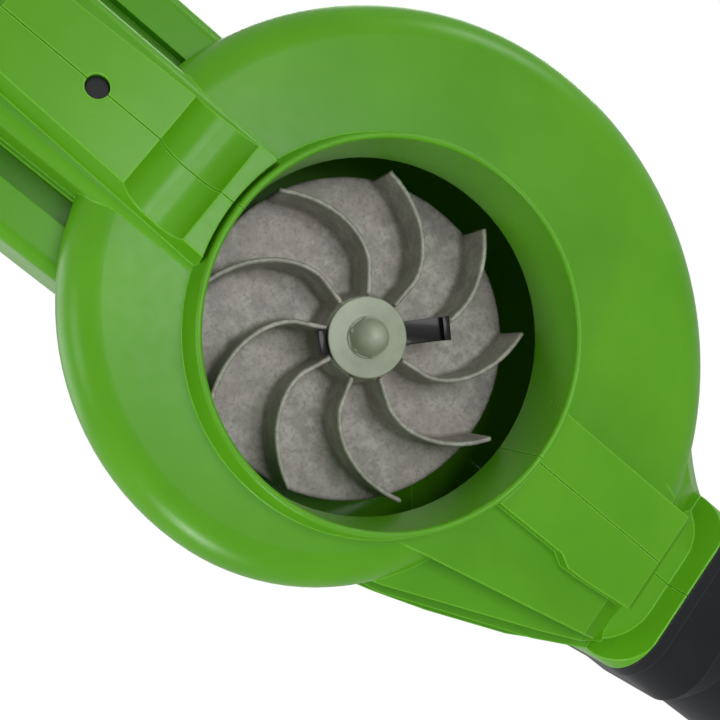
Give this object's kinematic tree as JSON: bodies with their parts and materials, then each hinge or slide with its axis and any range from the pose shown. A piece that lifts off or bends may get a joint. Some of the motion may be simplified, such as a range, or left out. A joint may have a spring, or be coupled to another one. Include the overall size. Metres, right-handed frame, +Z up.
{
  "type": "cordless leaf blower vacuum",
  "caption": "Handheld blower with a round underside intake, finned fan wheel, spiral housing, loop handle, slide-in battery and a long tapered blow tube.",
  "frame": {"origin": "centre of the intake rim on the fan axis, at the height of the floor the blower stands on", "axes": "+Z up the fan axis into the machine, +X forward along the blow tube, +Y to the machine's left"},
  "size_m": [1.142, 0.2635, 0.273],
  "materials": {
    "green_body": "satin moulded green plastic",
    "black_body": "fine grained black plastic",
    "dark_grey_body": "fine grained dark grey plastic",
    "orange_body": "satin orange plastic",
    "soft_grip": "soft ribbed rubber",
    "die_casting": "as cast, mottled grey",
    "black_steel": "glossy black",
    "nylon": "pale translucent nylon",
    "steel": "bright steel",
    "magnet": "dark sintered magnet",
    "copper": "copper wire and segments",
    "contact_brass": "bright brass",
    "carbon": "dark carbon",
    "circuit_board": "green laminate",
    "heatsink": "plain aluminium",
    "lead_sheath": "red sheath",
    "cell_can": "wrapped cell"
  },
  "bodies": {
    "housing": {"left_housing": "green_body", "right_housing": "green_body", "motor_cover": "black_body", "fan_back_plate": "steel", "plate_screws": "steel", "motor_can": "steel", "motor_magnets": "magnet", "motor_end_cap": "black_body", "brush_holders": "contact_brass", "carbon_brushes": "carbon", "front_bearing": "steel", "rear_bearing": "steel", "motor_screws": "steel", "controller_board": "circuit_board", "controller_heatsink": "heatsink", "motor_leads": "lead_sheath", "power_leads": "lead_sheath", "battery_dock": "black_body", "dock_blades": "contact_brass", "speed_switch": "black_body", "trigger_pin": "steel", "grip_left": "soft_grip", "grip_right": "soft_grip", "interlock_switch": "black_body", "housing_screws": "steel", "trigger_spring": "steel", "boost_spring": "steel", "interlock_spring": "steel"},
    "rotor": {"motor_shaft": "steel", "armature_core": "steel", "armature_windings": "copper", "commutator": "copper", "cooling_fan": "black_body", "impeller": "die_casting", "shredder_bar": "black_steel", "hub_washer": "nylon", "cap_nut": "nylon"},
    "battery": {"battery_base": "black_body", "battery_lid": "dark_grey_body", "battery_cells": "cell_can", "cell_holders": "dark_grey_body", "battery_board": "circuit_board", "battery_contacts": "contact_brass", "pack_button_spring": "steel"},
    "pack_button": {"pack_button": "orange_body"},
    "trigger": {"trigger": "black_body"},
    "cruise_lever": {"cruise_lever": "orange_body"},
    "boost_button": {"boost_button": "orange_body"},
    "interlock_plunger": {"interlock_plunger": "black_body"},
    "blow_tube": {"upper_tube": "black_body", "tube_button_spring": "steel"},
    "tube_button": {"tube_button": "orange_body"},
    "nozzle": {"nozzle": "black_body"}
  },
  "joints": [
    {"name": "fan_spin", "type": "hinge", "parent": "housing", "child": "rotor", "pos_m": [0, 0, 0.1], "axis": [0, 0, 1], "continuous": true},
    {"name": "trigger_pull", "type": "hinge", "parent": "housing", "child": "trigger", "pos_m": [0.036, 0.0015, 0.24], "axis": [0, 1, 0], "range_deg": [0, 6], "stiffness_Nm_per_rad": 2, "springref_deg": -5.73, "deforming": ["trigger_spring"]},
    {"name": "cruise_turn", "type": "hinge", "parent": "housing", "child": "cruise_lever", "pos_m": [0.012, -0.0184, 0.246], "axis": [0, 1, 0], "range_deg": [0, 60]},
    {"name": "boost_push", "type": "slide", "parent": "housing", "child": "boost_button", "axis": [0, 0, -1], "range_m": [0, 0.0025], "stiffness_N_per_m": 600, "springref_m": -0.003, "deforming": ["boost_spring"]},
    {"name": "interlock_push", "type": "slide", "parent": "housing", "child": "interlock_plunger", "axis": [0, 0, 1], "range_m": [0, 0.003], "stiffness_N_per_m": 400, "springref_m": -0.003, "deforming": ["interlock_spring"]},
    {"name": "battery_slide", "type": "slide", "parent": "housing", "child": "battery", "axis": [-1, 0, 0], "range_m": [0, 0.12]},
    {"name": "pack_button_push", "type": "slide", "parent": "battery", "child": "pack_button", "axis": [0, 0, -1], "range_m": [0, 0.003], "stiffness_N_per_m": 600, "springref_m": -0.003, "deforming": ["pack_button_spring"]},
    {"name": "tube_slide", "type": "slide", "parent": "housing", "child": "blow_tube", "axis": [1, 0, 0], "range_m": [0, 0.06]},
    {"name": "tube_button_push", "type": "slide", "parent": "blow_tube", "child": "tube_button", "axis": [0, 0, -1], "range_m": [0, 0.003], "stiffness_N_per_m": 600, "springref_m": -0.003, "deforming": ["tube_button_spring"]},
    {"name": "nozzle_slide", "type": "slide", "parent": "blow_tube", "child": "nozzle", "axis": [1, 0, 0], "range_m": [0, 0.045]}
  ]
}
